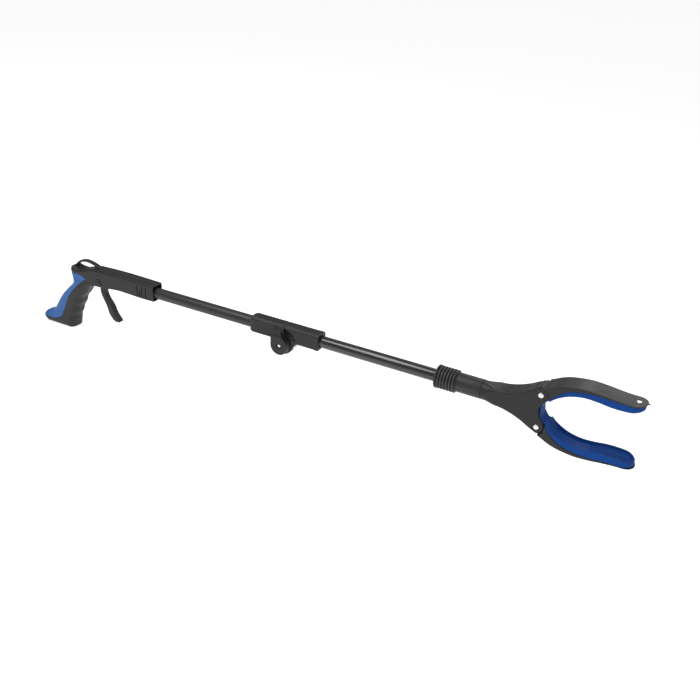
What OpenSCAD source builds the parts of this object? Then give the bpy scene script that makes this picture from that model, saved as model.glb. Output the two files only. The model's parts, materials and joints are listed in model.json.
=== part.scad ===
// Folding reacher grabber: pistol grip with a trigger, two tubes joined by a fold hinge,
// a swivelling head and two padded jaws. Millimetres, +Z up, +X towards the jaws.
// The origin is under the middle of the part, on the plane of the grip's base. Each piece is drawn
// from a station on the tube axis: the hinge seam, the handle's front face or the sleeve's rear face.

/* [Tubes] */
// Outside diameter of both tubes
tube_od = 16; // [15:0.5:16]
// Wall thickness of both tubes
tube_wall = 1; // [0.8:0.1:1.5]
// Bare length of the rear tube between the handle and the hinge
rear_tube_bare = 161; // [120:1:220]
// Bare length of the front tube between the hinge and the neck
front_tube_bare = 162; // [120:1:260]

/* [Hinge] */
// Length of each half of the fold hinge
hinge_half = 52; // [48:1:60]
// Half width of the hinge blocks
block_half_w = 9.5; // [9.25:0.25:10.5]
// Depth of the fold pivot below the tube axis
pivot_drop = 16; // [16:0.5:17]
// Radius of the round ears beside the fold pivot
ear_r = 12.5; // [11:0.5:13]

/* [Jaws] */
// Half width of the jaws
jaw_half_w = 14; // [12:0.5:15]
// Height of each jaw pivot from the tube axis
jaw_pivot_z = 21; // [21:0.1:21.2]
// Number of rings on the neck sleeve
ring_count = 7; // [5:1:7]

/* [Trigger] */
// Width of the trigger
trigger_w = 9; // [8:0.5:9.5]

/* [Hidden] */

$fn = 48;
big = 300;               // larger than any piece, for cutting tools
fit = 0.05;              // radial clearance of a pin or tube in its bore
gap = 0.2;               // clearance between faces that pass each other
tube_r = tube_od / 2;
bore_r = tube_r - tube_wall;
cable_r = 0.8;

// Stations along the tube axis, from the hinge seam
handle_x = -(hinge_half + rear_tube_bare);   // front face of the handle
collar_x = hinge_half + front_tube_bare;     // rear face of the ribbed sleeve
heel_back = 216.5;       // from the handle's front face to the back of the heel
nib_end = 247;           // from the rear face of the sleeve to the jaw tips
mid_x = (handle_x - heel_back + collar_x + nib_end) / 2;
axis_z = 92;             // height of the tube axis above the grip's base

// Handle sizes, from its front face
half_grip_w = 13.5;
half_body_w = 10.5;
pad_t = 2.8;             // thickness of the soft backstrap on the sides
cavity_half_w = 7;
tube_socket = 45;        // how far the rear tube runs into the handle
trigger_pivot = [-90, 6.5];
trigger_arm = 8;         // from the trigger pivot down to the cable
rear_cable_z = trigger_pivot[1] - trigger_arm;
pin_r = 2;
screw_r = 1.5;
screw_head_r = 2.7;
side_slots = [[-28.5, 15], [-24.5, 9], [-20.5, 15], [-13.3, 15]];    // station and height of each
handle_screws = [[-23, 10.3], [-57, 7.6], [-129, -6], [-150, -45], [-163, -82]];

// Fold hinge sizes
fold_x = -3.5;           // the fold pivot lies behind the seam
block_top = 11.8;
block_bottom = -10;
block_chamfer = 3.2;     // along the top edges
ear_out = 16;            // outer face of the ears, from the middle plane
knuckle_half_w = 6;
knuckle_r = 15;
groove_r = 12;           // floor of the cable groove in the knuckle
pocket_r = 25;           // room in the front block for the ears
tube_stop = 21;          // the tubes end this far from the seam
seam = 0.1;              // half the gap between the two blocks
bolt_r = 2;
bolt_head_r = 2.5;
bolt_head_t = 2.4;
bolt_seat = bolt_head_t + 0.8 - ear_out;     // face in the near ear that the bolt head sits on
nut_r = 3.6;

// Head sizes, from the rear face of the ribbed sleeve
ring_zone = 27;
neck_socket = 46;        // how far the front tube runs into the sleeve and the neck
neck_end = 58.5;         // swivel seam
neck_r = 12;
ring_r = 14.6;
spigot_r = 7;
flange_r = 8.6;
flange_x = neck_end + 6.5;
flange_t = 3.5;
spigot_end = neck_end + 14;
pivot_x = 131;           // jaw pivots
plate_in = 9.5;          // inner face of the yoke plates
plate_out = 12.5;
nose_r = 9;              // round ends of the yoke plates
hub_r = 9.2;             // root of a jaw, between the plates
pin_head_r = 3.2;
crank = [-6, -14.5];     // crank pin of the upper jaw, from its pivot
crank_pin_r = 1.5;
cross_half_w = 4;        // half thickness of the crosshead

// ---------- helpers ----------

// Moves a piece drawn from station x of the tube axis into the part's frame
module at(x = 0) {
    translate([x - mid_x, 0, axis_z]) children();
}

// One point of a Catmull-Rom span
function span(a, b, c, d, t) =
    0.5 * (2 * b + (c - a) * t + (2 * a - 5 * b + 4 * c - d) * t * t + (3 * b - a - 3 * c + d) * t * t * t);

// Smooth open curve through the points p, with n steps for each span
function curve(p, n = 5) = concat(
    [for (i = [0 : len(p) - 2], k = [0 : n - 1])
        span(p[max(i - 1, 0)], p[i], p[i + 1], p[min(i + 2, len(p) - 1)], k / n)],
    [p[len(p) - 1]]
);

function reverse(p) = [for (i = [len(p) - 1 : -1 : 0]) p[i]];

// Arc of circle c, r from angle a0 to a1
function arc(c, r, a0, a1, n = 10) =
    [for (i = [0 : n]) let (a = a0 + (a1 - a0) * i / n) c + r * [cos(a), sin(a)]];

// Rounded rectangle from [x0, y0] to [x1, y1]
function round_box(x0, y0, x1, y1, r) = concat(
    arc([x1 - r, y1 - r], r, 0, 90, 5), arc([x0 + r, y1 - r], r, 90, 180, 5),
    arc([x0 + r, y0 + r], r, 180, 270, 5), arc([x1 - r, y0 + r], r, 270, 360, 5)
);

// A side-view drawing (X across, Z up) made solid from y0 to y1
module slab(y0, y1) {
    translate([0, y1, 0]) rotate([90, 0, 0]) linear_extrude(height = y1 - y0) children();
}

// An end-view drawing (Y across, Z up) made solid from x0 to x1
module bar(x0, x1) {
    translate([x0, 0, 0]) rotate([90, 0, 90]) linear_extrude(height = x1 - x0) children();
}

// Rod along X
module rod_x(x0, x1, r, z = 0) {
    translate([x0, 0, z]) rotate([0, 90, 0]) cylinder(h = x1 - x0, r = r);
}

// Pin along Y through the point p = [x, z]
module pin_y(p, y0, y1, r) {
    translate([p[0], y1, p[1]]) rotate([90, 0, 0]) cylinder(h = y1 - y0, r = r);
}

// Helical spring along X. Its end-view section is stretched round the coil, so that the wire is round.
module coil_x(x0, x1, r, wire, turns) {
    length = x1 - x0 - 2 * wire;
    section = [for (t = [0 : 45 : 315])
        let (around = 360 * turns * wire * sin(t) / length)
            (r + wire * cos(t)) * [cos(around), sin(around)]];
    translate([x0 + wire, 0, 0]) rotate([0, 90, 0])
        linear_extrude(height = length, twist = 360 * turns, slices = 10 * turns, $fn = 4) polygon(section);
}

module left_half() {
    intersection() {
        children();
        translate([-big * 2, 0, -big]) cube([big * 4, big, big * 2]);
    }
}

module right_half() {
    intersection() {
        children();
        translate([-big * 2, -big, -big]) cube([big * 4, big, big * 2]);
    }
}

// ---------- handle, drawn from its front face ----------

module handle_outline() {
    underside = curve([[0, -10.5], [-22, -11], [-43, -10.2], [-64, -9.8], [-82, -11.6], [-98, -13.4],
        [-110, -14.2], [-119, -18.5], [-126, -27], [-133.5, -36.5], [-139, -47], [-144, -59],
        [-150, -72], [-153.5, -84], [-157, -90], [-163, -axis_z]]);
    heel = curve([[-204, -axis_z], [-213, -89.5], [-heel_back, -84.5], [-212, -79], [-203, -75]]);
    back = curve([[-194, -70], [-184.5, -54.5], [-175, -41.5], [-161.5, -27.8], [-152.5, -18.5],
        [-150.5, -12], [-152.5, -4], [-156, 4], [-155.5, 9], [-151, 11.6], [-146.5, 10.5]]);
    top = curve([[-142, 6.3], [-133, 4], [-123, 7.6], [-112, 12.2], [-98, 13.6], [-55, 14.6], [0, 13.5]]);
    polygon(concat(underside, heel, back, top));
}

// Side view of the region that the soft backstrap covers
module backstrap_region() {
    edge = curve([[-154, 1], [-141, 0.4], [-130.5, -1.4], [-123.5, -5.4], [-129, -10], [-141, -22], [-152, -35],
        [-160, -50], [-167, -68], [-174, -78], [-185, -83.4], [-200, -84.5], [-218, -84.5]]);
    polygon(concat([[-230, 1]], edge, [[-230, -84.5]]));
}

// Side view of the hard core that carries the backstrap
module core_outline() {
    edge = curve([[-150, 2.5], [-147, -6], [-146.6, -13], [-157, -25.5], [-171, -38.5], [-180.5, -52],
        [-191, -69], [-200, -77], [-207, -84.5]]);
    polygon(concat(edge, [[-100, -84.5], [-100, 2.5]]));
}

// Outer volume of the handle: a rounded body and a leaning, rounded grip with a wide heel
module handle_volume() {
    lean = 35;
    grip_mid = [-146, -30];
    intersection() {
        slab(-20, 20) handle_outline();
        union() {
            bar(-160, 0) polygon(round_box(-half_body_w, -15, half_body_w, 15, 4));
            intersection() {
                translate([grip_mid[0], 0, grip_mid[1]]) rotate([0, lean, 0])
                    translate([0, 0, -90]) linear_extrude(height = 180)
                        polygon(round_box(-19, -half_grip_w, 18.5, half_grip_w, 8));
                translate([-big, -big, -big]) cube([big, 2 * big, big + 4]);
            }
            translate([0, 0, -95]) linear_extrude(height = 25)
                polygon(round_box(-217, 0.2 - half_grip_w, -152, half_grip_w - 0.2, 9));
        }
    }
}

module handle_cavities() {
    slab(-cavity_half_w, cavity_half_w) difference() {
        polygon([[1 - tube_socket, -6.5], [-70, -6.5], [-84, -8.5], [-112, -8.5], [-117, -4], [-117, 2],
            [-108, 8], [-98, 11.2], [1 - tube_socket, 11.2]]);
        translate(handle_screws[1]) circle(r = 4);
    }
    // Slot that the trigger swings in
    slab(-trigger_w / 2 - 0.5, trigger_w / 2 + 0.5)
        polygon([[-88.5, -5], [-88.5, -30], [-133, -30], [-118, -15], [-116, -4]]);
    // Hollow of the grip
    slab(-8, 8) difference() {
        polygon(curve([[-133, -20], [-140, -30], [-147, -47], [-154, -62], [-159, -80], [-166, -87], [-194, -87],
            [-196, -80], [-184, -64], [-175, -49], [-163, -35], [-150, -24], [-140, -19], [-133, -20]], 3));
        translate(handle_screws[3]) circle(r = 3.6);
        translate(handle_screws[4]) circle(r = 3.6);
    }
    // Tube socket and the wider mouth in front of it
    rod_x(-tube_socket, 1, tube_r + fit);
    bar(-7, 1) polygon(round_box(-8.4, -8.6, 8.4, 10.5, 2));
    pin_y(trigger_pivot, -8.5, 8.5, pin_r + fit);
    for (p = handle_screws) {
        pin_y(p, -8, half_grip_w + 1, screw_r + fit);
        pin_y(p, head_seat(p), half_grip_w + 1, screw_head_r + fit);
    }
    for (slot = side_slots) translate([slot[0], -half_body_w - 1, -7]) cube([1.6, 2, slot[1]]);
}

// Depth at which a screw's head sits: the grip is wider than the body
function head_seat(p) = (p[1] < -10 ? half_grip_w : half_body_w) - 3;

// Band of the hanging loop, t thick
module loop_band(t) {
    path = curve([[-151, -1], [-150.5, 7], [-146, 14.5], [-138, 19], [-127, 21], [-116, 19.6], [-106, 15.6],
        [-97, 10.5]]);
    n = len(path) - 1;
    normal = [for (i = [0 : n]) let (d = path[min(i + 1, n)] - path[max(i - 1, 0)]) [-d[1], d[0]] / norm(d)];
    polygon(concat([for (i = [0 : n]) path[i] + normal[i] * t / 2],
        reverse([for (i = [0 : n]) path[i] - normal[i] * t / 2])));
}

module handle_solid() {
    difference() {
        union() {
            difference() {
                handle_volume();
                slab(-big, big) backstrap_region();
            }
            intersection() {
                handle_volume();
                slab(pad_t - half_grip_w, half_grip_w - pad_t) core_outline();
            }
        }
        handle_cavities();
        slab(-3.2, 3.2) loop_band(3.3);
    }
}

module handle_shell_right() {
    color("#3b3b39") at(handle_x) right_half() handle_solid();
}

module handle_shell_left() {
    color("#3b3b39") at(handle_x) left_half() handle_solid();
}

module grip_backstrap() {
    color("#3466ab") at(handle_x) difference() {
        intersection() {
            handle_volume();
            slab(-big, big) backstrap_region();
        }
        slab(pad_t - half_grip_w, half_grip_w - pad_t) core_outline();
        slab(-3.2, 3.2) loop_band(3.3);
    }
}

module hanging_loop() {
    color("#2c2c2b") at(handle_x) slab(-3, 3) loop_band(3);
}

module shell_screws() {
    color("silver") at(handle_x) for (p = handle_screws) {
        pin_y(p, -7.8, head_seat(p) + 1, screw_r);
        difference() {
            pin_y(p, head_seat(p) + fit, head_seat(p) + 2, screw_head_r);
            translate([p[0], head_seat(p) + 2, p[1]]) cube([3.2, 1.6, 0.7], center = true);
            translate([p[0], head_seat(p) + 2, p[1]]) cube([0.7, 1.6, 3.2], center = true);
        }
    }
}

module trigger_pin() {
    color("silver") at(handle_x) pin_y(trigger_pivot, -8.4, 8.4, pin_r);
}

// The trigger hangs from its pin: a round boss, an arm past the cable and a waved finger blade
module trigger() {
    rear = curve([[-95, 6.5], [-98.5, -2], [-101.5, -9], [-102.3, -16], [-101, -24], [-97.3, -32.5], [-93.3, -39.5],
        [-91, -46], [-88, -54.5], [-82.5, -61.5]]);
    front = curve([[-69, -62], [-73.5, -57], [-79.5, -50], [-82.5, -43], [-86, -37], [-91.5, -30], [-94.5, -21],
        [-92.5, -12], [-87.5, -5], [-85.2, 1], [-85.2, 6.5]]);
    tip = curve([[-82, -62], [-77.5, -64], [-72, -63.8]], 4);
    color("#343433") at(handle_x) difference() {
        union() {
            slab(-trigger_w / 2, trigger_w / 2) polygon(concat(rear, tip, front));
            pin_y(trigger_pivot, -trigger_w / 2, trigger_w / 2, 4.5);
        }
        pin_y(trigger_pivot, -big, big, pin_r + fit);
        // Seat of the cable barrel, long enough for the swing, and the slot for the cable
        slab(-3.4, 3.4) {
            translate([trigger_pivot[0] + 0.1, rear_cable_z]) circle(r = 2.4);
            translate([trigger_pivot[0] - 2.3, rear_cable_z - 1.2]) square([4.8, 1.2]);
            translate([trigger_pivot[0] + 0.1, rear_cable_z - 1.2]) circle(r = 2.4);
        }
        translate([trigger_pivot[0], -1.2, rear_cable_z - 3]) cube([20, 2.4, 7.3]);
    }
}

module cable_barrel() {
    color("silver") at(handle_x) difference() {
        pin_y([trigger_pivot[0], rear_cable_z], -3.1, 3.1, 1.9);
        rod_x(trigger_pivot[0] - 0.5, trigger_pivot[0] + 5, cable_r + fit, rear_cable_z);
    }
}

module rear_cable() {
    color("#8a8a8c") at() rod_x(handle_x + trigger_pivot[0] - 0.4, -tube_stop, cable_r, rear_cable_z);
}

// ---------- tubes and fold hinge, drawn from the hinge seam ----------

fold_pivot = [fold_x, -pivot_drop];

module tube(x0, x1) {
    difference() {
        rod_x(x0, x1, tube_r);
        rod_x(x0 - 1, x1 + 1, bore_r);
    }
}

module rear_tube() {
    color("#2f2f2f") at() tube(handle_x - tube_socket + gap, -tube_stop);
}

module front_tube() {
    color("#191919") at() tube(tube_stop, collar_x + neck_socket);
}

// End view of a hinge block: chamfered top edges and rounded bottom edges
module block_section() {
    round_r = 2.5;
    right = concat([[block_half_w - block_chamfer, block_top], [block_half_w, block_top - block_chamfer]],
        arc([block_half_w - round_r, block_bottom + round_r], round_r, 0, -90, 5));
    polygon(concat(right, reverse([for (p = right) [-p[0], p[1]]])));
}

// Half of the hinge body, from x0 to x1, hollow for the tube and the cable
module block_body(x0, x1) {
    difference() {
        bar(x0, x1) block_section();
        if (x0 < 0) rod_x(x0 - 1, -tube_stop, tube_r + fit);
        else rod_x(tube_stop, x1 + 1, tube_r + fit);
        rod_x(-tube_stop - 1, tube_stop + 1, 3);
    }
}

module rear_hinge_block() {
    ear_in = knuckle_half_w + gap;
    color("#3d3d3b") at() difference() {
        union() {
            block_body(-hinge_half, -seam);
            for (side = [-1, 1]) slab(side > 0 ? ear_in : -ear_out, side > 0 ? ear_out : -ear_in) {
                translate(fold_pivot) circle(r = ear_r);
                polygon([fold_pivot - [ear_r, 0], [fold_x - ear_r, -8], [fold_x - 8, 1], [-seam, 1],
                    [-seam, -pivot_drop]]);
            }
        }
        // Room for the knuckle of the front block
        pin_y(fold_pivot, -ear_in, ear_in, knuckle_r + 0.4);
        pin_y(fold_pivot, -big, big, bolt_r + fit);
        pin_y(fold_pivot, -ear_out - 1, bolt_seat, bolt_head_r + 0.8);
        pin_y(fold_pivot, ear_out - 4, ear_out + 1, nut_r + 0.4);
    }
}

module front_hinge_block() {
    color("#3d3d3b") at() difference() {
        union() {
            difference() {
                block_body(seam, hinge_half);
                for (side = [-1, 1])
                    slab(side > 0 ? knuckle_half_w : -big, side > 0 ? big : -knuckle_half_w)
                        translate(fold_pivot) circle(r = pocket_r);
            }
            slab(-knuckle_half_w, knuckle_half_w) {
                translate(fold_pivot) circle(r = knuckle_r);
                translate([seam, 2 - pivot_drop]) square([11, 10]);
            }
        }
        difference() {
            pin_y(fold_pivot, -1.6, 1.6, knuckle_r + 6);
            pin_y(fold_pivot, -1.6, 1.6, groove_r);
            translate([3, -5, -big - pivot_drop]) cube([big, 10, big]);
            translate([0, -5, 4]) cube([big, 10, big]);
        }
        pin_y(fold_pivot, -big, big, bolt_r + fit);
        // Pocket of the lock button
        translate([fold_x + 7, -3.1, -pivot_drop - 5.1]) cube([20, 6.2, 6.2]);
    }
}

module fold_pivot_screw() {
    color("silver") at() difference() {
        union() {
            pin_y(fold_pivot, bolt_seat - 0.1, ear_out - 1, bolt_r);
            pin_y(fold_pivot, bolt_seat - bolt_head_t, bolt_seat - fit, bolt_head_r);
        }
        translate([fold_x, bolt_seat - bolt_head_t, -pivot_drop]) {
            cube([3.4, 1.6, 0.8], center = true);
            cube([0.8, 1.6, 3.4], center = true);
        }
    }
}

module fold_pivot_nut() {
    color("silver") at() difference() {
        pin_y(fold_pivot, ear_out - 3.9, ear_out - 0.8, nut_r, $fn = 6);
        pin_y(fold_pivot, 0, ear_out, bolt_r + fit);
    }
}

module fold_lock_button() {
    color("silver") at(fold_x) difference() {
        translate([10.5, -3, -pivot_drop - 5]) cube([9, 6, 6]);
        rod_x(10, 12.5, 2, -pivot_drop - 2);
    }
}

module lock_button_spring() {
    color("silver") at(fold_x) translate([0, 0, -pivot_drop - 2]) coil_x(7.1, 12.4, 1.4, 0.25, 4);
}

// ---------- neck and swivel ----------

// Rubber rings over the front tube: square ridges with even grooves
module ribbed_sleeve() {
    pitch = ring_zone / ring_count;
    ridge = pitch * 0.56;
    color("#373735") at(collar_x) rotate([90, 0, 90]) rotate_extrude($fn = 64) {
        translate([tube_r + fit, 0]) square([12.4 - tube_r - fit, ring_zone]);
        for (k = [0 : ring_count - 1]) translate([12, k * pitch]) square([ring_r - 12 - (k > 0 ? 0.4 : 0), ridge]);
    }
}

module neck_collar() {
    color("#373735") at(collar_x) rotate([0, 90, 0]) rotate_extrude($fn = 64) polygon([
        [3, neck_socket + gap], [tube_r + fit, neck_socket + gap], [tube_r + fit, ring_zone + gap],
        [neck_r, ring_zone + gap], [neck_r, neck_end - 0.1], [spigot_r, neck_end - 0.1],
        [spigot_r, flange_x], [flange_r, flange_x], [flange_r, flange_x + flange_t],
        [spigot_r, flange_x + flange_t], [spigot_r, spigot_end], [3, spigot_end]
    ]);
}

// ---------- head, drawn from the rear face of the ribbed sleeve ----------

upper_pivot = [pivot_x, jaw_pivot_z];

module yoke_outline() {
    flare = curve([[neck_end, 11.5], [72, 10.2], [84, 10.8], [98, 14.2], [111, 19.6], [121, 25.2],
        [pivot_x, jaw_pivot_z + nose_r]]);
    nose = arc(upper_pivot, nose_r, 85, -30, 8);
    crotch = curve([[134.8, 10.5], [131.4, 5], [130.2, 0]]);
    upper = concat(flare, nose, crotch);
    polygon(concat(upper, reverse([for (p = upper) [p[0], -p[1]]])));
}

module mouth_cavity() {
    wall = curve([[86, 5.5], [98, 9.5], [111, 15.2], [121, 20.5]]);
    roof = arc(upper_pivot, hub_r + 0.4, 180, 90, 8);
    upper = concat(wall, roof, [[pivot_x, 40], [160, 40]]);
    polygon(concat(upper, reverse([for (p = upper) [p[0], -p[1]]])));
}

head_screw_at = [[76, 7.6], [76, -7.6]];

module head_solid() {
    difference() {
        intersection() {
            slab(-plate_out, plate_out) yoke_outline();
            bar(neck_end, 160) polygon(round_box(-plate_out, -45, plate_out, 45, 3));
        }
        slab(-plate_in, plate_in) mouth_cavity();
        rod_x(neck_end - 1, spigot_end + gap, spigot_r + fit);
        rod_x(flange_x - gap, flange_x + flange_t + gap, flange_r + fit);
        rod_x(spigot_end, 110, 5.4);
        for (s = [-1, 1]) pin_y([pivot_x, s * jaw_pivot_z], -big, big, pin_r + fit);
        for (p = head_screw_at) {
            pin_y(p, -9, plate_out + 1, 1 + fit);
            pin_y(p, plate_out - 2, plate_out + 1, 2 + fit);
        }
    }
}

module head_shell_right() {
    color("#393937") at(collar_x) right_half() head_solid();
}

module head_shell_left() {
    color("#393937") at(collar_x) left_half() head_solid();
}

module jaw_pivot_pins() {
    color("silver") at(collar_x) for (s = [-1, 1]) {
        p = [pivot_x, s * jaw_pivot_z];
        pin_y(p, -plate_out - 0.5, plate_out + 0.5, pin_r);
        pin_y(p, plate_out + fit, plate_out + 1.4, pin_head_r);
        pin_y(p, -plate_out - 1.4, -plate_out - fit, pin_head_r);
    }
}

module head_screws() {
    color("silver") at(collar_x) for (p = head_screw_at) {
        pin_y(p, -8.8, plate_out - 1, 1);
        pin_y(p, plate_out - 2 + fit, plate_out - 0.4, 2);
    }
}

module crosshead() {
    slot_half = crank_pin_r + 0.3;
    cx = pivot_x + crank[0];
    cz = jaw_pivot_z + crank[1];
    color("#8d8d8a") at(collar_x) difference() {
        union() {
            slab(-cross_half_w, cross_half_w) {
                translate([cx - 6, -11.9]) square([9.2, 23.8]);
                translate([cx - 20, -4]) square([16, 8]);
            }
            rod_x(cx - 22, cx - 19, 5);
        }
        slab(-big, big) for (s = [-1, 1])
            translate([cx - slot_half, s * (cz + 1.4) - 3.1]) square([2 * slot_half, 6.2]);
        rod_x(cx - 23, cx - 8, 1.6 + fit);
    }
}

module cable_ferrule() {
    cx = pivot_x + crank[0];
    color("silver") at(collar_x) difference() {
        rod_x(cx - 16, cx - 8.2, 1.6);
        rod_x(cx - 17, cx - 8, cable_r + fit);
    }
}

module front_cable() {
    color("#8a8a8c") at() rod_x(tube_stop, collar_x + pivot_x + crank[0] - 8.4, cable_r);
}

module return_spring() {
    color("silver") at(collar_x) coil_x(spigot_end + 0.5, pivot_x + crank[0] - 22.2, 4, 0.45, 8);
}

// ---------- jaws: drawn for the upper jaw, mirrored for the lower one ----------

outer_edge = [[133, 30.6], [138, 32.9], [146, 37], [155, 40.2], [165, 42.2], [180, 43.7], [197, 42.8], [210, 41.3],
    [222, 40.2], [232, 40], [245, 41]];
middle_edge = [[141, 17.5], [148, 26], [155, 31.6], [165, 36.5], [180, 39.8], [195, 40.4], [209, 39.5],
    [222, 38.8], [232, 38.7], [245, 39.7]];
inner_edge = [[141.5, 15.5], [148, 21.5], [156, 26.4], [165, 30.2], [179, 32.9], [195, 32.2], [209, 30.5],
    [221, 30.3], [232, 31.1], [243.5, 33.6]];
jaw_tip = 245;
magnet_x = 235;

// Plan view of a jaw or pad: parallel sides and a round, spoon-like tip
module jaw_plan(half_w, tip) {
    polygon(concat([[120, half_w]], reverse(arc([tip - half_w, 0], half_w, -90, 90, 16)), [[120, -half_w]]));
}

// Wide part of a jaw between two edges, clear of the round ends of the yoke plates
module jaw_band(outer, inner, half_w, tip) {
    difference() {
        intersection() {
            slab(-half_w, half_w) polygon(concat(curve(outer, 4), reverse(curve(inner, 4))));
            translate([0, 0, -5]) linear_extrude(height = 60) jaw_plan(half_w, tip);
        }
        pin_y(upper_pivot, -big, big, nose_r + gap);
    }
}

module jaw_root() {
    ear_y = cross_half_w + 0.4;
    tongue = plate_in - 0.3;
    slab(-tongue, tongue) difference() {
        union() {
            translate(upper_pivot) circle(r = hub_r);
            polygon([upper_pivot + [0, hub_r - 0.4], [141, 33.6], [150, 33], [143, 18], upper_pivot + [4, -7.4]]);
        }
        translate(upper_pivot) circle(r = pin_r + fit);
    }
    for (side = [-1, 1]) slab(side > 0 ? ear_y : -tongue, side > 0 ? tongue : -ear_y) difference() {
        union() {
            translate(upper_pivot + crank) circle(r = 3.6);
            polygon([upper_pivot + [-7, -3], upper_pivot + [1.5, -3], upper_pivot + [0.5, -15],
                upper_pivot + crank + [-3, -2]]);
        }
        translate(upper_pivot) circle(r = pin_r + fit);
        translate(upper_pivot + crank) circle(r = crank_pin_r + fit);
    }
}

module jaw_shape() {
    difference() {
        union() {
            jaw_band(outer_edge, middle_edge, jaw_half_w, jaw_tip);
            jaw_root();
        }
        slab(-big, big) polygon(concat([[130.6, 0], [131.2, 5.5], [132.6, 10], [138.8, 17.6]],
            curve(middle_edge, 4), [[jaw_tip, 0]]));
    }
}

module pad_shape() {
    jaw_band(middle_edge, inner_edge, jaw_half_w - 0.4, jaw_tip - 1.5);
    // Flap that closes the crotch in front of the crank
    slab(-plate_in + 0.4, plate_in - 0.4)
        polygon(concat(curve([[132.5, 0.4], [133.1, 5.5], [134.7, 10], [141.3, 16.4]], 4),
            reverse(curve([[130.8, 0.4], [131.4, 5.5], [132.8, 10], [139, 17.4]], 4))));
}

module upper_side() { at(collar_x) children(); }
module lower_side() { at(collar_x) mirror([0, 0, 1]) children(); }

// The upper jaw also has a seat for the magnet and a small nib at its tip
module upper_jaw() {
    color("#383836") upper_side() {
        difference() {
            jaw_shape();
            translate([magnet_x, 0, 30]) cylinder(h = 30, r = 2.5 + fit);
        }
        translate([nib_end - 4, -0.8, 39.8]) cube([4, 1.6, 1.2]);
    }
}

module lower_jaw() { color("#383836") lower_side() jaw_shape(); }
module upper_jaw_pad() { color("#1f4f9e") upper_side() pad_shape(); }
module lower_jaw_pad() { color("#1f4f9e") lower_side() pad_shape(); }

module crank_pin() { pin_y(upper_pivot + crank, -plate_in + 0.4, plate_in - 0.4, crank_pin_r); }
module upper_crank_pin() { color("silver") upper_side() crank_pin(); }
module lower_crank_pin() { color("silver") lower_side() crank_pin(); }

module pickup_magnet() {
    color("silver") upper_side() translate([magnet_x, 0, 39.3]) cylinder(h = 1.3, r = 2.5);
}

handle_shell_right();
handle_shell_left();
grip_backstrap();
hanging_loop();
shell_screws();
trigger_pin();
rear_tube();
rear_hinge_block();
fold_pivot_screw();
fold_pivot_nut();
trigger();
rear_cable();
cable_barrel();
front_hinge_block();
front_tube();
ribbed_sleeve();
neck_collar();
fold_lock_button();
lock_button_spring();
head_shell_right();
head_shell_left();
jaw_pivot_pins();
head_screws();
crosshead();
front_cable();
cable_ferrule();
return_spring();
upper_jaw();
upper_jaw_pad();
upper_crank_pin();
pickup_magnet();
lower_jaw();
lower_jaw_pad();
lower_crank_pin();
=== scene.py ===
"""Looks of a folding reacher grabber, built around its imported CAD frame.

Lengths are in millimetres, drawn from three stations on the tube axis: the handle's front face, the
hinge seam and the rear face of the ribbed sleeve. x runs towards the jaws, y across, z up from the axis.
Moulded pieces are drawn as signed distances (negative inside) on a grid of points, and then meshed.
"""

import json
import math

import bmesh
import bpy
import numpy as np
import openvdb
from mathutils import Matrix, Vector

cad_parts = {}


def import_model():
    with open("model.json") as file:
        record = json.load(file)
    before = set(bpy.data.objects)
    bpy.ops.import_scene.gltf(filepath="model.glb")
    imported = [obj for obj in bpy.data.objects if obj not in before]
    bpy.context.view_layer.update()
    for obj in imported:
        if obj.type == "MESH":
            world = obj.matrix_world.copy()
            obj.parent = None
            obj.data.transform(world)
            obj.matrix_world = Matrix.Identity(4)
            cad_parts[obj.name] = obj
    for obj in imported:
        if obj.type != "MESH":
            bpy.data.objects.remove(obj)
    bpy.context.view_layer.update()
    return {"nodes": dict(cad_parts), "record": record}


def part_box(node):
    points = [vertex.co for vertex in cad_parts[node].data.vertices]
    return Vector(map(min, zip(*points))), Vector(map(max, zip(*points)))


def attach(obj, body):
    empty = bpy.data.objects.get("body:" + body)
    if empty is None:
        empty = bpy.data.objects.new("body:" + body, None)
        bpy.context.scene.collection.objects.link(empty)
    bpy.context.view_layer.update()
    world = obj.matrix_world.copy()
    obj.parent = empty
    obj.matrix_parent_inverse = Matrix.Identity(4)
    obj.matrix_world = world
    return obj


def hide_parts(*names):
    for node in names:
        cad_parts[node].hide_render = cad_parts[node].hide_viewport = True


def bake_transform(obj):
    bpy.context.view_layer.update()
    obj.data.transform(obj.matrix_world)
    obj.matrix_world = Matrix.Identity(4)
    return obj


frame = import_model()

MM = 0.001


def middle(node):
    """Middle of a CAD node's box, in millimetres."""
    low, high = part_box(node)
    return (low + high) / 2 / MM


# Stations and sizes read from the CAD frame
AXIS_Z = middle("rear_tube").z
HANDLE = Vector((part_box("handle_shell_right")[1].x / MM, 0, AXIS_Z))
SEAM = Vector(((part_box("rear_tube")[1].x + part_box("front_tube")[0].x) / 2 / MM, 0, AXIS_Z))
COLLAR = Vector((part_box("ribbed_sleeve")[0].x / MM, 0, AXIS_Z))
TUBE_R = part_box("rear_tube")[1].y / MM
SCREW = middle("fold_pivot_screw")
PIVOT = (SCREW.x - SEAM.x, SCREW.z - AXIS_Z)     # fold pivot, from the seam

FIT = 0.08           # clearance round a tube or a pin
PIN_R = 2.0          # trigger pin and jaw pins
SHARP_ANGLE = 40     # degrees between faces above which an edge looks sharp
EDGE_BEVEL = 0.12    # on the edges of small parts that keep their CAD shape


# ---------- drawing curves ----------

def curve(points, steps=6):
    """Smooth open curve through the points."""
    p = np.array([points[0], *points, points[-1]], float)
    t = np.arange(steps)[:, None] / steps
    spans = []
    for a, b, c, d in zip(p, p[1:], p[2:], p[3:]):
        cubic = 3 * b - a - 3 * c + d
        square = 2 * a - 5 * b + 4 * c - d
        spans.append(0.5 * (2 * b + (c - a) * t + square * t ** 2 + cubic * t ** 3))
    return np.concatenate(spans + [p[-1:]])


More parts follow.
